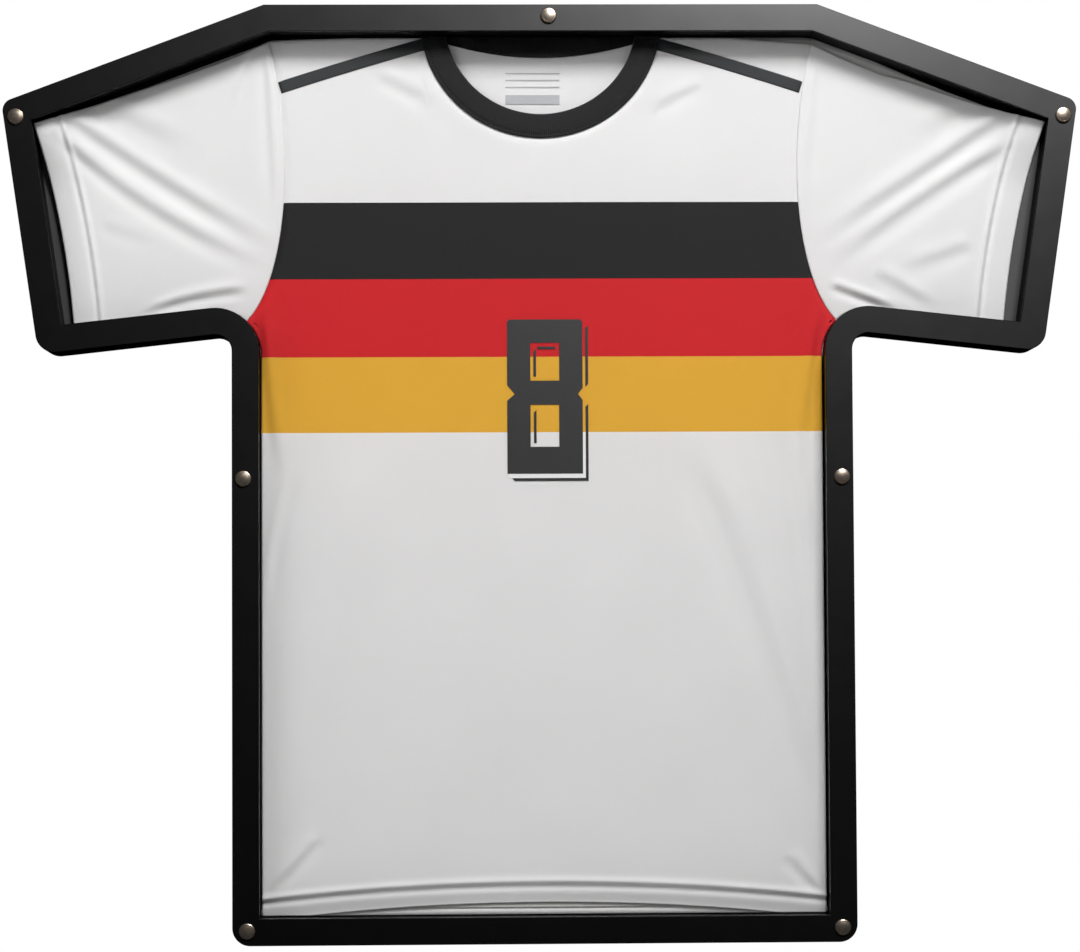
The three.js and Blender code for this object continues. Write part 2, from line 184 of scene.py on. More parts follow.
def knitHeight(tree, where, wale, course):
    # the columns of a knit are rounded ridges one wale apart, crossed by finer courses
    across = addNode(tree, "TexWave", {"bands_direction": "X"},
                     {"Scale": 0.314 / wale, "Distortion": 0.4, "Detail Scale": 2.0}, {"Vector": where})
    down = addNode(tree, "TexWave", {"bands_direction": "Z"},
                   {"Scale": 0.314 / course, "Distortion": 0.6}, {"Vector": where})
    return addNode(tree, "Mix", values={"Factor": 0.35},
                   links={"A": across.outputs[1], "B": down.outputs[1]}).outputs[0]


def polyesterKnit(name, turn=0.0, bands=()):
    # knitted polyester: matt white with a soft sheen, fine upright ribs and faint uneven dye
    made, tree = newMaterial(name)
    where = addNode(tree, "TexCoord").outputs["Object"]
    turned = addNode(tree, "Mapping", values={"Rotation": (0, turn, 0)}, links={"Vector": where})
    ribs = knitHeight(tree, turned.outputs[0], 1.3 * mm, 1.1 * mm)
    cloud = addNode(tree, "TexNoise", values={"Scale": 14, "Detail": 3}, links={"Vector": where})
    shade = addNode(tree, "MapRange", links={"Value": cloud.outputs[0]},
                    values={"From Min": 0.3, "From Max": 0.7, "To Min": 0.975, "To Max": 1.0})
    rib = addNode(tree, "MapRange", values={"To Min": 0.985, "To Max": 1.0}, links={"Value": ribs})
    tone = addNode(tree, "Math", {"operation": "MULTIPLY"}, links={0: shade.outputs[0], 1: rib.outputs[0]})
    colour = addNode(tree, "Mix", {"data_type": "RGBA", "blend_type": "MULTIPLY"},
                     {"Factor": 1.0, 6: linear(jerseyColours["white"]), 7: (1, 1, 1, 1)})
    tree.links.new(tone.outputs[0], colour.inputs[7])
    if bands:
        height = addNode(tree, "SeparateXYZ", links={"Vector": where})
        low, high = bands[0][0] - 0.05, bands[-1][1] + 0.05
        share = addNode(tree, "MapRange", values={"From Min": low, "From Max": high},
                        links={"Value": height.outputs[2]})
        ramp = addNode(tree, "ValToRGB", links={"Fac": share.outputs[0]})
        ramp.color_ramp.interpolation = "CONSTANT"
        ramp.color_ramp.elements.remove(ramp.color_ramp.elements[1])
        ramp.color_ramp.elements[0].color = linear(jerseyColours["white"])
        for bottom, top, dye in bands:
            element = ramp.color_ramp.elements.new((bottom - low) / (high - low))
            element.color = linear(jerseyColours[dye])
        last = ramp.color_ramp.elements.new((bands[-1][1] - low) / (high - low))
        last.color = linear(jerseyColours["white"])
        tree.links.new(ramp.outputs[0], colour.inputs[6])
    bump = addNode(tree, "Bump", values={"Strength": 0.05, "Distance": 0.25 * mm}, links={"Height": ribs})
    finishMaterial(tree, {"Roughness": 0.8, "Sheen Weight": 0.06, "Sheen Roughness": 0.4,
                          "Specular IOR Level": 0.15},
                   {"Base Color": colour.outputs[2], "Normal": bump.outputs[0]})
    return made


def ribKnit():
    # 1 x 1 rib knit in black: matt, with furrows across the band that stretch round the neck
    made, tree = newMaterial("ribKnitBlack")
    where = addNode(tree, "UVMap", {"uv_map": "cloth"}).outputs[0]
    ribs = addNode(tree, "TexWave", {"bands_direction": "X"}, {"Scale": 0.314 / (1.6 * mm)},
                   {"Vector": where})
    tone = addNode(tree, "Mix", {"data_type": "RGBA"}, {6: linear("#101011"), 7: linear("#222225")},
                   {"Factor": ribs.outputs[1]})
    bump = addNode(tree, "Bump", values={"Strength": 0.6, "Distance": 0.4 * mm},
                   links={"Height": ribs.outputs[1]})
    finishMaterial(tree, {"Roughness": 0.9, "Sheen Weight": 0.15, "Sheen Roughness": 0.5,
                          "Specular IOR Level": 0.25},
                   {"Base Color": tone.outputs[2], "Normal": bump.outputs[0]})
    return made


def twillTape(name, dye):
    # woven tape: diagonal ribs under one millimetre apart, drawn at one millimetre to show at all
    made, tree = newMaterial(name)
    where = addNode(tree, "TexCoord").outputs["Object"]
    slanted = addNode(tree, "Mapping", values={"Rotation": (0, math.radians(38), 0)},
                      links={"Vector": where})
    ribs = addNode(tree, "TexWave", {"bands_direction": "X"}, {"Scale": 0.314 / (1.0 * mm)},
                   {"Vector": slanted.outputs[0]})
    tone = addNode(tree, "Mix", {"data_type": "RGBA"}, {6: linear(dye), 7: linear("#3a3d3f")},
                   {"Factor": ribs.outputs[1]})
    bump = addNode(tree, "Bump", values={"Strength": 0.4, "Distance": 0.2 * mm},
                   links={"Height": ribs.outputs[1]})
    finishMaterial(tree, {"Roughness": 0.8, "Specular IOR Level": 0.3},
                   {"Base Color": tone.outputs[2], "Normal": bump.outputs[0]})
    return made


def pressedFilm(name, dye, roughness):
    # heat pressed film: even colour, slightly smoother than the knit, with the knit faintly under it
    made, tree = newMaterial(name)
    where = addNode(tree, "TexCoord").outputs["Object"]
    ribs = knitHeight(tree, where, 1.3 * mm, 1.1 * mm)
    cloud = addNode(tree, "TexNoise", values={"Scale": 90, "Detail": 3}, links={"Vector": where})
    rough = addNode(tree, "MapRange", values={"To Min": roughness - 0.06, "To Max": roughness + 0.06},
                    links={"Value": cloud.outputs[0]})
    bump = addNode(tree, "Bump", values={"Strength": 0.1, "Distance": 0.2 * mm}, links={"Height": ribs})
    finishMaterial(tree, {"Base Color": linear(dye), "Specular IOR Level": 0.35},
                   {"Roughness": rough.outputs[0], "Normal": bump.outputs[0]})
    return made


def grained(name, light, dark, grain, roughness, metallic=0.0, depth=0.03, spread=0.06, stretch=(1, 1, 1)):
    # a plain stock material: two close tones, a grain of one size, and roughness that follows it
    made, tree = newMaterial(name)
    where = addNode(tree, "TexCoord").outputs["Object"]
    pulled = addNode(tree, "Mapping", values={"Scale": stretch}, links={"Vector": where})
    noise = addNode(tree, "TexNoise", values={"Scale": 1 / grain, "Detail": 5, "Roughness": 0.6},
                    links={"Vector": pulled.outputs[0]})
    tone = addNode(tree, "Mix", {"data_type": "RGBA"}, {6: linear(dark), 7: linear(light)},
                   {"Factor": noise.outputs[0]})
    rough = addNode(tree, "MapRange", values={"To Min": roughness - spread, "To Max": roughness + spread},
                    links={"Value": noise.outputs[0]})
    bump = addNode(tree, "Bump", values={"Strength": 0.3, "Distance": depth * mm},
                   links={"Height": noise.outputs[0]})
    finishMaterial(tree, {"Metallic": metallic},
                   {"Base Color": tone.outputs[2], "Roughness": rough.outputs[0],
                    "Normal": bump.outputs[0]})
    return made


jerseyColours = {"white": "#f4f3f3", "black": "#232324", "red": "#d92229", "gold": "#efb53b"}
chestBands = ((-0.2262, -0.1662, "gold"), (-0.1662, -0.1039, "red"), (-0.1039, -0.0432, "black"))

materials = {
    "acrylic": castAcrylic("castAcrylicBlack", 0.285, 0.5),
    "acrylicEdge": castAcrylic("castAcrylicSawn", 0.5, 0.2),    # sawn and sanded, duller
    "window": clearAcrylic(),
    # matt printed skin with a fine orange peel
    "backBoard": grained("foamBoardBlack", "#111112", "#0b0b0c", 0.4 * mm, 0.6),
    # bright nickel, lightly worn; its dark taupe tone is a painted reflection of the dim surroundings the
    # heads mirror
    "nickel": grained("nickelPlate", "#93887b", "#7d7266", 3 * mm, 0.3, 0.85, 0.01),
    # turned from bar, a little dull
    "brass": grained("brassBar", "#c39a55", "#a98345", 0.5 * mm, 0.35, 1.0),
    # cool, with a cloudy spangle
    "zinc": grained("zincPlatedSteel", "#b4b9bd", "#9aa0a5", 2.5 * mm, 0.38, 1.0, 0.02),
    # matt, slightly dusty
    "rubber": grained("mouldedRubber", "#262627", "#1b1b1c", 0.3 * mm, 0.85),
    # pressed pulp, its grain drawn out upwards
    "cardboard": grained("greyBoard", "#e9e9e6", "#dddcd8", 1.2 * mm, 0.85, stretch=(1, 1, 0.3)),
    "knitBody": polyesterKnit("polyesterKnitBanded", 0.0, chestBands),
    "knit": polyesterKnit("polyesterKnitWhite"),
    "knitSleeveRight": polyesterKnit("polyesterKnitSleeveRight", math.radians(20)),
    "knitSleeveLeft": polyesterKnit("polyesterKnitSleeveLeft", math.radians(-20)),
    "rib": ribKnit(),
    "tape": twillTape("twillTapeGrey", "#26292b"),
    "filmBlack": pressedFilm("pressedFilmBlack", "#1c1c1e", 0.5),
    "filmWhite": pressedFilm("pressedFilmWhite", "#fafafa", 0.5),
    "filmGrey": pressedFilm("pressedFilmGrey", "#b7b8bc", 0.6),
}
nodeLooks = {"bezel": "acrylic", "rail": "acrylicEdge", "window": "window", "back_panel": "backBoard",
             "insert": "brass", "cap_screw": "nickel", "keyhole_plate": "zinc", "plate_screw": "zinc",
             "bumper": "rubber", "shirt_board": "cardboard", "jersey": "knit", "sleeve": "knit",
             "collar": "rib"}
for name, thing in nodes.items():
    look = next(look for start, look in nodeLooks.items() if name.startswith(start))
    thing.data.materials.clear()
    thing.data.materials.append(materials[look])
print("materials made:", len(materials))

# the outline of the frame at its sharp corners, right side, from the shoulder down
outlineRight = np.array([[217.5, 110], [422.3, 33], [393.2, -164.6], [242.7, -148], [242.7, -625]]) * mm
cloth = dict(
    room=20.6 * mm,          # from the frame's edge to the cloth's edge
    armpitRadius=34.5 * mm,
    neckCentre=104 * mm,
    neckOpening=76.2 * mm,
    collarWidth=19.7 * mm,
    seamTop=222 * mm,        # armhole seam, from the middle: at the shoulder,
    seamChest=192.5 * mm,    # across the chest
    seamUnderarm=197 * mm,   # and above the armpit
    thickness=0.8 * mm,
    boardFace=-9.9 * mm,     # what the front of the jersey lies on
    backFace=-7.4 * mm,      # where the front wraps round the board to
)


def insetCorners(right, distance):
    # every corner moves so that both of its edges end up that far inside
    line = np.r_[right, (right * (-1, 1))[::-1]]
    before = line - np.roll(line, 1, axis=0)
    after = np.roll(line, -1, axis=0) - line
    first = np.c_[before[:, 1], -before[:, 0]] / np.linalg.norm(before, axis=1)[:, None]
    second = np.c_[after[:, 1], -after[:, 0]] / np.linalg.norm(after, axis=1)[:, None]
    return line + (first + second) * (distance / (1 + (first * second).sum(1)))[:, None]


def resample(line, count, share=None):
    # points at equal steps, or at the given shares, of the line's length
    line = np.asarray(line)
    length = np.r_[0, np.cumsum(np.linalg.norm(np.diff(line, axis=0), axis=1))]
    at = (np.linspace(0, 1, count) if share is None else share) * length[-1]
    return np.c_[np.interp(at, length, line[:, 0]), np.interp(at, length, line[:, 1])]


def bezier(points, count):
    # Bernstein sum of the control points
    t = np.linspace(0, 1, count)[:, None]
    order = len(points) - 1
    return sum(math.comb(order, i) * (1 - t) ** (order - i) * t ** i * np.array(p)
               for i, p in enumerate(points))


def unit(vector):
    return vector / np.linalg.norm(vector)


shoulder, tip, cuff, armpit, hem = insetCorners(outlineRight, cloth["room"])[:5]
toCuff, toHem = unit(cuff - armpit), unit(hem - armpit)
halfAngle = math.acos(toCuff @ toHem) / 2
towards = unit(toCuff + toHem)
arcCentre = armpit + towards * cloth["armpitRadius"] / math.sin(halfAngle)
arcReach = cloth["armpitRadius"] / math.tan(halfAngle)
seamEnd = arcCentre - towards * cloth["armpitRadius"]


def armpitArc(end):
    # the arc from the end of the armhole seam to where it meets a straight edge
    first = math.atan2(*(seamEnd - arcCentre)[::-1])
    last = math.atan2(*(end - arcCentre)[::-1])
    turn = math.atan2(math.sin(last - first), math.cos(last - first))
    angle = first + turn * np.linspace(0, 1, 16)
    return arcCentre + cloth["armpitRadius"] * np.c_[np.cos(angle), np.sin(angle)]


# the armhole seam swings in across the chest and back out to the armpit
seamWhole = bezier([(cloth["seamTop"], topZ),
                    (cloth["seamChest"], topZ - (topZ - seamEnd[1]) * 0.35),
                    (cloth["seamUnderarm"], topZ - (topZ - seamEnd[1]) * 0.85), seamEnd], 160)
topLine = np.array([[0, shoulder[1]], shoulder, tip])
armhole = seamWhole[seamWhole[:, 1] <= np.interp(seamWhole[:, 0], *topLine.T)][::-1]  # from the armpit up
cuffLow = cuff + unit(armpit - cuff) * 7 * mm
cuffEdge = bezier([cuffLow, (cuffLow + tip) / 2 - (9 * mm, 0), tip], 60)
underarm = np.r_[armpitArc(armpit + toCuff * arcReach), [cuffLow]]
sleeveTop = np.array([armhole[-1], tip])
sideLine = np.r_[[hem], armpitArc(armpit + toHem * arcReach)[::-1]]  # from the hem up
sideAndSeam = np.r_[sideLine, armhole]


# how far the top edge hangs below the frame's line, in mm: x, front layer, back layer
topDroop = np.array([(-399, 0, 0), (-364, 1.5, 1.5), (-324, 2.5, 2.5), (-289, 4, 4), (-250, 4.5, 4.5),
                     (-234, 4, 4), (-214, 2, 2), (-150, 0, 0), (150, 0, 0), (190, 3, 0), (219, 5, 0),
                     (236, 7, 0), (268, 8.5, 0), (293, 6, 1.5), (333, 4.5, 3), (367, 3, 3),
                     (399, 0, 0)]) * mm


def topEdge(x, layer=1):
    return np.interp(np.abs(x), *topLine.T) - np.interp(x, topDroop[:, 0], topDroop[:, layer])


def distanceTo(x, z, line):
    # shortest distance to the segments of a line
    best = np.full(x.shape, 1.0)
    for (ax, az), (bx, bz) in zip(line[:-1], line[1:]):
        dx, dz = bx - ax, bz - az
        t = np.clip(((x - ax) * dx + (z - az) * dz) / max(dx * dx + dz * dz, 1e-12), 0, 1)
        best = np.minimum(best, np.hypot(x - ax - t * dx, z - az - t * dz))
    return best


def smooth(low, high, value):
    t = np.clip((value - low) / (high - low), 0, 1)
    return t * t * (3 - 2 * t)


def foldHeights(x, z, table):
    # a fold runs along a bowed line with a ridge above it and a furrow below:
    # sqrt(2) s exp(0.5 - s^2), s across it in widths, faded at both ends
    total = np.zeros_like(x)
    for x0, z0, x1, z1, width0, width1, height, bow in np.array(table) * mm:
        dx, dz = x1 - x0, z1 - z0
        length = math.hypot(dx, dz)
        t = ((x - x0) * dx + (z - z0) * dz) / length ** 2
        held = np.clip(t, 0, 1)
        s = ((x - x0) * -dz + (z - z0) * dx) / length * np.sign(dx) - bow * 4 * held * (1 - held)
        s = s / (width0 + (width1 - width0) * held)
        fade = smooth(-0.08, 0.12, t) * (1 - smooth(0.6, 1.08, t))
        total += height * fade * math.sqrt(2) * s * np.exp(0.5 - s ** 2)
    return total


def edgeWrap(height, distance, radius, drop):
    # near an edge the cloth turns back in a quarter circle
    inside = np.clip(1 - distance / radius, 0, 1)
    return height - (height + drop) * (1 - np.sqrt(1 - inside ** 2))


def gridMesh(name, x, y, z, body, look, thickness=None, uv=None, flip=False):
    # rows run up and columns run to the right, so every face looks to the front
    rows, columns = x.shape
    points = np.stack([x, y, z], axis=-1).reshape(-1, 3)
    index = np.arange(rows * columns).reshape(rows, columns)
    quads = np.stack([index[:-1, :-1], index[:-1, 1:], index[1:, 1:], index[1:, :-1]], axis=-1)
    quads = quads.reshape(-1, 4)
    if flip:
        quads = quads[:, ::-1]
    mesh = bpy.data.meshes.new(name)
    mesh.from_pydata(points.tolist(), [], quads.tolist())
    if uv is not None:
        layer = mesh.uv_layers.new(name="cloth")
        flat = np.stack(uv, axis=-1).reshape(-1, 2)
        layer.data.foreach_set("uv", flat[quads.reshape(-1)].ravel())
    mesh.polygons.foreach_set("use_smooth", np.ones(len(quads), bool))
    mesh.materials.append(materials[look])
    thing = bpy.data.objects.new(name, mesh)
    bpy.context.scene.collection.objects.link(thing)
    if thickness:
        wall = thing.modifiers.new("wall", "SOLIDIFY")
        wall.thickness, wall.offset = thickness, -1
    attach(thing, body)
    return thing


def spaced(low, high, step, dense):
    # positions from low to high, closer together near each (place, reach, factor) in dense
    at = np.linspace(low, high, 4000)
    density = np.ones(4000)
    for place, reach, factor in dense:
        density += (factor - 1) * np.exp(-((at - place) / reach) ** 2)
    total = np.r_[0, np.cumsum((density[1:] + density[:-1]) / 2 * np.diff(at))]
    return np.interp(np.linspace(0, total[-1], int(total[-1] / step) + 1), total, at)


# folds, in mm: from x, z to x, z, width at each end, height, bow
bodyFolds = [
    (124, -248, 222, -548, 16, 10, 2.0, 7),
    (195, -230, 212, -410, 7, 6, 1.2, 3),
    (-198, -262, -216, -362, 6, 5, 1.2, 3),
    (-125, -255, -218, -560, 30, 20, 1.4, -8),
    (-178, -545, -214, -584, 6, 4, 1.6, 0),
    (192, -560, 216, -588, 6, 4, 1.6, 0),
    (221, -128, 204, -260, 4, 8, 1.1, 2),
    (-221, -128, -206, -270, 4, 8, 1.1, -2),
    (-128, 58, -82, 36, 5, 8, 0.9, 0),
    (126, 50, 80, 28, 5, 8, 0.9, 0),
]
body = dict(
    loft=2.2 * mm,
    hemFold=-580,            # height of the hem's seam in the middle and how much it sags, in mm
    hemSag=12.5,
    hemEdge=-594.8,          # the same for the hem's edge
    hemFall=8,
    hemReach=170,            # over which it falls
    hemRidge=1.35 * mm,
    hemWidth=3.4 * mm,
    hemDrop=1.3 * mm,        # how much lower the cloth lies at the hem's edge
    ripple=0.35 * mm,
    flatSeam=1.1 * mm,       # height of the cloth where a seam or the collar holds it down
    sideRise=1.0 * mm,
    step=3.4 * mm,
    under=2.5 * mm,          # how far it runs on under the sleeves
)


def hemCurve(x, middle, sag, reach=221):
    return (middle - sag * (x / (reach * mm)) ** 2) * mm


def bodyY(x, z):
    # the board's face, the cloth's loft on it, the folds, and the hem's own fold and groove
    height = body["loft"] + foldHeights(x, z, bodyFolds)
    height += body["ripple"] * np.sin(x / 0.047 + 0.8) * np.cos(z / 0.11 + 0.4) * smooth(-0.62, -0.5, z)
    fromFold = (z - hemCurve(x, body["hemFold"], body["hemSag"])) / body["hemWidth"]
    height += body["hemRidge"] * math.sqrt(2) * fromFold * np.exp(0.5 - fromFold ** 2)
    fromEdge = z - hemCurve(x, body["hemEdge"], body["hemFall"], body["hemReach"])
    height -= body["hemDrop"] * (1 - smooth(0, 1, fromEdge / (14 * mm)))
    seam = distanceTo(np.abs(x), z, armhole)
    beyond = np.abs(x) > np.interp(z, armhole[:, 1], armhole[:, 0])
    tucked = np.maximum(1 - smooth(0, 5 * mm, seam), beyond & (z > armhole[0, 1]))
    height -= (height - body["flatSeam"]) * tucked
    ring = np.hypot(x, z - cloth["neckCentre"]) - cloth["neckOpening"] - cloth["collarWidth"]
    height -= (height - body["flatSeam"]) * (1 - smooth(-1 * mm, 5 * mm, ring))
    height = np.maximum(height, 1.0 * mm)
    fromSide = distanceTo(np.abs(x), z, sideLine)
    height += body["sideRise"] * (1 - smooth(2 * mm, 22 * mm, fromSide))
    drop = cloth["backFace"] - cloth["boardFace"]
    height = edgeWrap(height, fromSide, 1.6 * mm, drop)
    height = edgeWrap(height, np.abs(z - topEdge(x)), 2.4 * mm, drop)
    return cloth["boardFace"] - height


def makeBody():
    seamX = np.interp(seamWhole[0, 1], *sideAndSeam.T[::-1])
    edges = [(side * seamX, 9 * mm, 3.2) for side in (-1, 1)]
    collarEdges = [(side * 86 * mm, 8 * mm, 3.0) for side in (-1, 1)]
    columns = spaced(-seamX, seamX, body["step"], edges + collarEdges) / seamX
    rows = spaced(0, 0.69, body["step"], [(0.012, 0.022, 4.5), (0.69, 0.004, 3)]) / 0.69
    share, level = np.meshgrid(columns, rows)
    neck = cloth["neckOpening"] + cloth["collarWidth"] - 2 * mm     # its edge is under the collar
    z = -0.6 + 0.69 * level
    for _ in range(8):       # the sides and the top depend on each other, and settle in a few rounds
        half = np.interp(z, sideAndSeam[:, 1], sideAndSeam[:, 0]) + body["under"] * (z > seamEnd[1])
        x = share * half
        top = topEdge(x)
        dip = cloth["neckCentre"] - np.sqrt(np.maximum(neck ** 2 - x ** 2, 0))
        top = np.where(np.abs(x) < neck, np.minimum(top, dip), top)
        bottom = hemCurve(x, body["hemEdge"], body["hemFall"], body["hemReach"])
        bottom = np.maximum(bottom, hem[1] + 0.4 * mm)
        z = bottom + level * (top - bottom)
    thing = gridMesh("jerseyBody", x, bodyY(x, z), z, "jersey", "knitBody",
                     cloth["thickness"])
    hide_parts("jersey_front")
    return thing


bodyPiece = makeBody()
print("body made")

# folds of the sleeves, in the same columns as those of the body
sleeveFolds = {
    "left": [
        (-372, 24, -216, -76, 6, 9, 1.9, -2),
        (-376, 6, -222, -91, 6, 9, 1.7, -8),
        (-350, 38, -280, 2, 9, 12, 1.0, 0),
        (-218, 78, -211, -50, 4, 5, 1.3, 0),
        (-229, 78, -244, 30, 4, 6, 1.0, 0),
        (-236, -112, -318, -131, 5, 4, 1.5, 3),
        (-346, -60, -306, -74, 6, 8, 0.4, 0),
    ],
    "right": [
        (368, 25, 222, -73, 7, 10, 1.9, 0),
        (364, -2, 230, -92, 7, 10, 2.0, 3),
        (340, -78, 284, -97, 7, 9, 0.8, 0),
        (336, 38, 300, 8, 9, 11, 0.9, 0),
        (230, -110, 282, -129, 4, 4, 1.9, 0),
        (266, -100, 312, -126, 7, 6, 0.8, 0),
        (219, 60, 210, -30, 4, 6, 0.8, 0),
    ],
}
sleeve = dict(
    loft=3.0 * mm,
    tipRise=10.5 * mm,       # the tip stands up to the window
    tipReach=62 * mm,
    hemWidth=20 * mm,
    hemRidge=1.3 * mm,       # beside the hem's seam
    hemGroove=0.8 * mm,
    hemRise=0.35 * mm,       # the hem is two layers thick
    pucker=0.12 * mm,
    seamHeight=2.6 * mm,
    lowest=1.2 * mm,
    highest=13.6 * mm,
    length=0.17,             # about, only to space the columns and rows
    depth=0.2,
    step=2.6 * mm,
    cuffShift={"left": 0 * mm, "right": 3 * mm},    # the right cuff stands further in
)


def cuffOf(side):
    # the cuff line, moved in more towards its lower end
    share = np.clip((cuffEdge[:, 1] - tip[1]) / (cuffLow[1] - tip[1]), 0, 1)
    return cuffEdge - np.c_[sleeve["cuffShift"][side] * np.sqrt(share), 0 * share]


def bell(across, place, width):
    # a bell exp(-s^2), s in widths from its place
    return np.exp(-((across - place) / width) ** 2)


def sleeveY(x, z, side):
    # the loft, the rise towards the tip where the cloth meets the window, folds, and the hem
    across = x * (1 if side == "right" else -1)
    fromTip = np.hypot((across - tip[0]) / 1.25, z - tip[1])
    height = sleeve["loft"] + sleeve["tipRise"] * (1 - smooth(0, 1, fromTip / sleeve["tipReach"])) ** 1.2
    height += foldHeights(x, z, sleeveFolds[side])
    fromCuff = distanceTo(across, z, cuffOf(side))
    pucker = sleeve["pucker"] * np.sin(z / 0.0019) * bell(fromCuff, sleeve["hemWidth"], 5 * mm)
    height += sleeve["hemRidge"] * bell(fromCuff, sleeve["hemWidth"] + 2.6 * mm, 1.9 * mm)
    height -= sleeve["hemGroove"] * bell(fromCuff, sleeve["hemWidth"] - 1.2 * mm, 1.6 * mm)
    height += sleeve["hemRise"] * (1 - smooth(14 * mm, 20 * mm, fromCuff)) + pucker
    fromSeam = distanceTo(across, z, armhole)
    height -= (height - sleeve["seamHeight"]) * (1 - smooth(0, 7 * mm, fromSeam))
    height = np.clip(height, sleeve["lowest"], sleeve["highest"])
    drop = cloth["backFace"] - cloth["boardFace"]
    height = edgeWrap(height, distanceTo(across, z, underarm), 1.8 * mm, drop)
    height = edgeWrap(height, np.abs(z - topEdge(x)), 2.2 * mm, drop)
    height = edgeWrap(height, fromCuff, 0.9 * mm, -height * 0.75)
    height = edgeWrap(height, fromSeam, 0.9 * mm, -2.0 * mm)
    return cloth["boardFace"] - height


def coonsPatch(bottom, top, left, right, u, v):
    # the two ruled surfaces between opposite edges, less the one through the four corners
    u, v = u[None, :, None], v[:, None, None]
    ruled = (1 - v) * bottom[None] + v * top[None] + (1 - u) * left[:, None] + u * right[:, None]
    corners = ((1 - u) * (1 - v) * bottom[0] + u * (1 - v) * bottom[-1]
               + (1 - u) * v * top[0] + u * v * top[-1])
    return ruled - corners


def sleevePlan(step, side, layer):
    # plan of a sleeve on its own side, from the armhole to the cuff
    length, depth = sleeve["length"], sleeve["depth"]
    dense = [(0, 5 * mm, 3), (length, 2 * mm, 3), (length - sleeve["hemWidth"], 8 * mm, 4)]
    u = spaced(0, length, step, dense) / length
    v = spaced(0, depth, step, [(0, 3 * mm, 4), (depth, 3 * mm, 4)]) / depth
    sign = 1 if side == "right" else -1
    hung = resample(sleeveTop, 0, u)
    hung[:, 1] = topEdge(hung[:, 0] * sign, layer)
    outer = resample(cuffOf(side), 0, v)
    seam = resample(armhole, 0, v)
    seam[:, 1] += (hung[0, 1] - seam[-1, 1]) * v ** 4
    plan = coonsPatch(resample(underarm, 0, u), hung, seam, outer, u, v)
    x, z = plan[..., 0], plan[..., 1]
    return (x, z) if side == "right" else (-x[:, ::-1], z[:, ::-1])


def makeSleeve(side):
    x, z = sleevePlan(sleeve["step"], side, 1)
    look = "knitSleeveLeft" if side == "left" else "knitSleeveRight"
    thing = gridMesh("jerseySleeve_" + side, x, sleeveY(x, z, side), z, "jersey", look,
                     cloth["thickness"])
    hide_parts("sleeve_" + side)
    return thing


sleevePieces = {side: makeSleeve(side) for side in ("left", "right")}
print("sleeves made")

back = dict(
    face=-7.2 * mm,
    forward=2.6 * mm,        # how far the strip below the board comes forward
    ripple=0.12 * mm,
    step=5 * mm,
)


def makeBack():
    # the back lies flat behind the board and comes forward below it, one panel and two sleeves
    columns = spaced(-1, 1, 0.03, [])
    rows = spaced(0, 1, 0.02, [(0.01, 0.01, 6), (1, 0.01, 3)])
    share, level = np.meshgrid(columns, rows)
    z = hem[1] + 0.5 * mm + level * (topEdge(share * armhole[-1, 0], 2) - hem[1] - 0.5 * mm)
    x = share * np.interp(z, sideAndSeam[:, 1], sideAndSeam[:, 0])
    ripple = back["ripple"] * np.sin(x / 0.021 + 1) * np.sin(z / 0.033)
    forward = back["forward"] * (1 - smooth(-0.6015, -0.5985, z))
    panel = gridMesh("jerseyBackPanel", x, back["face"] + ripple - forward, z, "jersey", "knit",
                     cloth["thickness"])
    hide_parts("jersey_back")
    made = [panel]
    for side, sign in (("right", 1), ("left", -1)):
        x, z = sleevePlan(back["step"], side, 2)
        x = x + sign * 0.4 * mm
        ripple = back["ripple"] * np.sin(x / 0.018) * np.sin(z / 0.027 + 1)
        made.append(gridMesh("jerseyBackSleeve_" + side, x, back["face"] + ripple, z, "jersey", "knit",
                             cloth["thickness"]))
    return made


backPieces = makeBack()
print("back made")

collar = dict(
    crown=3.6 * mm,          # height of its middle above the board
    edge=2.2 * mm,
    thickness=0.9 * mm,
    backThickness=0.7 * mm,
    backReach=79 * mm,       # half the width of the part inside the neck
    backLow=73 * mm,         # how low that hangs in the middle
    columns=260,
    rows=26,
)


def makeCollar():
    # an arc band: round the neck by angle, across it by radius, crowned like half an ellipse
    width, inner = cloth["collarWidth"], cloth["neckOpening"]
    across = np.linspace(0, 1, collar["rows"])
    along = np.linspace(0, 1, collar["columns"])
    radius = (inner + width * across)[:, None]
    ends = np.arcsin((shoulder[1] - cloth["neckCentre"]) / radius)
    angle = (-np.pi - ends) + along[None, :] * (np.pi + 2 * ends)
    x, z = radius * np.cos(angle), cloth["neckCentre"] + radius * np.sin(angle)
    arch = np.sqrt(1 - (2 * across - 1) ** 2)[:, None]
    crown = collar["edge"] + (collar["crown"] - collar["edge"]) * arch
    seam = 0.6 * mm * np.exp(-((across - 0.86) / 0.05) ** 2)[:, None]
    y = cloth["boardFace"] - crown + seam + 0.0 * x
    y[0] += 1.6 * mm
    uv = ((inner + width / 2) * angle, width * across[:, None] + 0.0 * angle)
    band = gridMesh("collarBand", x, y, z, "jersey", "rib", collar["thickness"], uv,
                    flip=True)
    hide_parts("collar")
    return band


def makeCollarBack():
    # the inside of the collar at the back of the neck: a shallow lens that hangs below the top edge
    along, across = np.meshgrid(np.linspace(-1, 1, 120), np.linspace(0, 1, 10))
    low = collar["backLow"] + 12.5 * mm * np.abs(along) ** 2
    x = along * collar["backReach"]
    z = low + across * (shoulder[1] - low)
    y = cloth["backFace"] - 0.9 * mm - 0.7 * mm * np.sin(np.pi * np.clip(across, 0.02, 1)) ** 0.5
    return gridMesh("collarBackBand", x, y, z, "jersey", "rib", collar["backThickness"],
                    (x, z))


collarPiece = makeCollar()
collarBackPiece = makeCollarBack()
print("collar made")

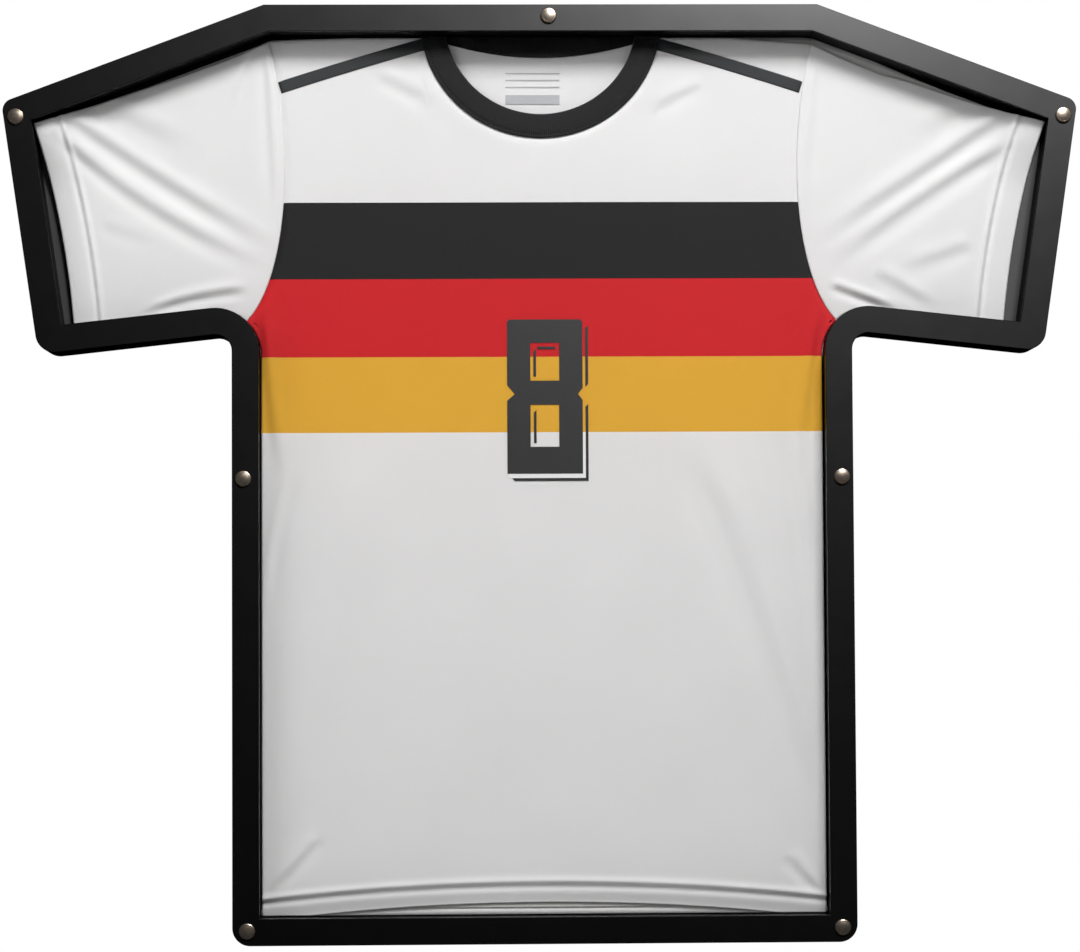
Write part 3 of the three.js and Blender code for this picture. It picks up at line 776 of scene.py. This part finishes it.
# outlines in mm; the first ring of a shape is its edge and the others are its holes
numberShape = [
    [(-27.8, -138), (-26, -136.1), (30, -136.1), (31.8, -138), (31.8, -190.4), (28.2, -195.2), (31.8, -200),
     (31.8, -258.2), (-27.8, -258.2), (-27.8, -200.4), (-21.8, -195.2), (-27.8, -188)],
    [(-9.4, -154.6), (13.4, -154.6), (13.4, -184.6), (-9.4, -184.6)],
    [(-9.4, -203.6), (13.2, -203.6), (13.2, -236.9), (-9.4, -236.9)],
]
shadowShapes = [
    [(34, -143.2), (36.2, -141), (36.2, -187.4), (34, -189.6)],
    [(34, -205.3), (36.2, -203.1), (36.2, -263.9), (-22, -263.9), (-24.1, -261.6), (34, -261.6)],
    [(-3.7, -157.6), (10.4, -157.6), (10.4, -159.7), (-3.7, -159.7)],
    [(-7, -161.4), (-4.9, -159.4), (-4.9, -181.4), (-7, -181.4)],
    [(-6.8, -209.8), (-4.7, -207.8), (-4.7, -234), (-6.8, -234)],
]
edgeShapes = [
    [(31.8, -225.6), (34, -225.6), (34, -261.6), (-25.7, -261.6), (-27.8, -258.3), (31.8, -258.3)],
]
neckPrint = [
    [(-28, 60.5), (15, 60.5), (15, 61.2), (-28, 61.2)],
    [(-28, 55), (15, 55), (15, 55.7), (-28, 55.7)],
    [(-28, 49.5), (15, 49.5), (15, 50.2), (-28, 50.2)],
    [(-28, 36), (15, 36), (15, 43.5), (-28, 43.5)],
]
printed = dict(thickness=0.25 * mm, cut=4 * mm, lift=0.4 * mm, lowLift=0.35 * mm)


def flatPrint(name, rings, surface, lift, look):
    # a filled outline, cut across every few millimetres so that it follows the cloth under it
    curve = bpy.data.curves.new(name, "CURVE")
    curve.dimensions, curve.fill_mode = "2D", "FRONT"
    for ring in rings:
        spline = curve.splines.new("POLY")
        spline.points.add(len(ring) - 1)
        corners = np.c_[np.array(ring) * mm, np.zeros(len(ring)), np.ones(len(ring))]
        spline.points.foreach_set("co", corners.ravel())
        spline.use_cyclic_u = True
    drawn = bpy.data.objects.new(name, curve)
    mesh = bpy.data.meshes.new_from_object(drawn)
    bpy.data.objects.remove(drawn)
    work = bmesh.new()
    work.from_mesh(mesh)
    for axis in (0, 1):
        values = [v.co[axis] for v in work.verts]
        for at in np.arange(min(values) + printed["cut"], max(values), printed["cut"]):
            plane = [0, 0, 0]
            plane[axis] = 1
            bmesh.ops.bisect_plane(work, geom=work.verts[:] + work.edges[:] + work.faces[:],
                                   plane_co=Vector(plane) * at, plane_no=plane)
    bmesh.ops.remove_doubles(work, verts=work.verts, dist=0.01 * mm)
    work.to_mesh(mesh)
    work.free()
    flat = np.zeros(len(mesh.vertices) * 3)
    mesh.vertices.foreach_get("co", flat)
    x, z = flat[0::3].copy(), flat[1::3].copy()
    mesh.vertices.foreach_set("co", np.c_[x, surface(x, z) - lift, z].ravel())
    mesh.materials.append(materials[look])
    thing = bpy.data.objects.new(name, mesh)
    bpy.context.scene.collection.objects.link(thing)
    wall = thing.modifiers.new("wall", "SOLIDIFY")
    wall.thickness, wall.offset = printed["thickness"], -1
    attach(thing, "jersey")
    return thing


def backY(x, z):
    return back["face"] + 0 * x


flatPrint("chestNumber", numberShape, bodyY, printed["lift"], "filmBlack")
flatPrint("chestNumberShadow", shadowShapes, bodyY, printed["lift"], "filmBlack")
flatPrint("chestNumberEdge", edgeShapes, bodyY, printed["lowLift"], "filmWhite")
flatPrint("neckPrint", neckPrint, backY, printed["lowLift"], "filmGrey")

tape = dict(
    width=9.5 * mm,
    lift=0.35 * mm,
    thickness=0.3 * mm,
    ends=((93, 83), (150, 67), (206.5, 48.5)),      # from the collar to the armhole, x and z in mm
)


def makeShoulderTape(side):
    # a plain tape sewn over the front shoulder seam, from the collar to the armhole
    line = bezier(np.array(tape["ends"]) * mm, 60)
    ahead = np.gradient(line, axis=0)
    normal = np.c_[-ahead[:, 1], ahead[:, 0]] / np.linalg.norm(ahead, axis=1)[:, None]
    across = np.linspace(-0.5, 0.5, 9)[:, None]
    x = line[None, :, 0] + normal[None, :, 0] * across * tape["width"]
    z = line[None, :, 1] + normal[None, :, 1] * across * tape["width"]
    if side == "left":
        x, z = -x[:, ::-1], z[:, ::-1]
    crown = 0.15 * mm * (1 - (2 * across) ** 2)
    return gridMesh("shoulderTape_" + side, x, bodyY(x, z) - tape["lift"] - crown, z, "jersey", "tape",
                    tape["thickness"])


for side in ("left", "right"):
    makeShoulderTape(side)
print("prints and tapes made")

screw = dict(
    radius=6.25 * mm,
    rim=1.1 * mm,            # straight edge
    bevel=0.9 * mm,          # rounded ring above it
    dome=0.6 * mm,           # middle above that
    shank=2.5 * mm,
    steps=64,
)


def makeCapScrew(where):
    # a profile of radius and height, carried round the screw's axis
    low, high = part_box("cap_screw_" + where)
    centre = (low + high) / 2
    t = np.linspace(0, 1, 13)
    crown = screw["radius"] - screw["bevel"] * 1.7
    dome = np.c_[crown * t, -(screw["rim"] + screw["bevel"]) - screw["dome"] * (1 - t ** 2)]
    ring = np.c_[crown + (screw["radius"] - crown) * np.sin(t * np.pi / 2),
                 -screw["rim"] - screw["bevel"] * np.cos(t * np.pi / 2)]
    groove = [[crown + 0.12 * mm, -(screw["rim"] + screw["bevel"]) + 0.18 * mm]]
    length = high.y - frontY
    rest = [[screw["radius"], 0.0], [screw["shank"], 0.0], [screw["shank"], length], [0, length]]
    profile = np.r_[dome, groove, ring[1:], rest]
    angle = np.linspace(0, 2 * np.pi, screw["steps"] + 1)
    x = centre.x + profile[:, 0][:, None] * np.cos(angle)
    z = centre.z + profile[:, 0][:, None] * np.sin(angle)
    y = frontY + profile[:, 1][:, None] + 0 * angle
    thing = gridMesh("capScrew_" + where, x, y, z, "screw_" + where, "nickel")
    work = bmesh.new()
    work.from_mesh(thing.data)
    bmesh.ops.remove_doubles(work, verts=work.verts, dist=0.002 * mm)
    bmesh.ops.recalc_face_normals(work, faces=work.faces)
    work.to_mesh(thing.data)
    work.free()
    thing.data.set_sharp_from_angle(angle=math.radians(40))
    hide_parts("cap_screw_" + where)


for name in sorted(nodes):
    if name.startswith("cap_screw_"):
        makeCapScrew(name[len("cap_screw_"):])
print("screws made")


floor = dict(radius=2.2, z=-1.45, steps=96)


def makeFloor(f):
    angle = np.linspace(0, 2 * np.pi, f["steps"], endpoint=False)
    points = np.c_[f["radius"] * np.cos(angle), f["radius"] * np.sin(angle), np.full(f["steps"], f["z"])]
    mesh = bpy.data.meshes.new("floor")
    mesh.from_pydata(points.tolist(), [], [list(range(f["steps"]))])
    thing = bpy.data.objects.new("floor", mesh)
    bpy.context.scene.collection.objects.link(thing)
    made, tree = newMaterial("paleFloor")
    finishMaterial(tree, {"Base Color": linear("#f2f2f2"), "Roughness": 0.9})
    mesh.materials.append(made)
    thing.visible_glossy = False     # or the rim would mirror it


makeFloor(floor)
print("floor made")
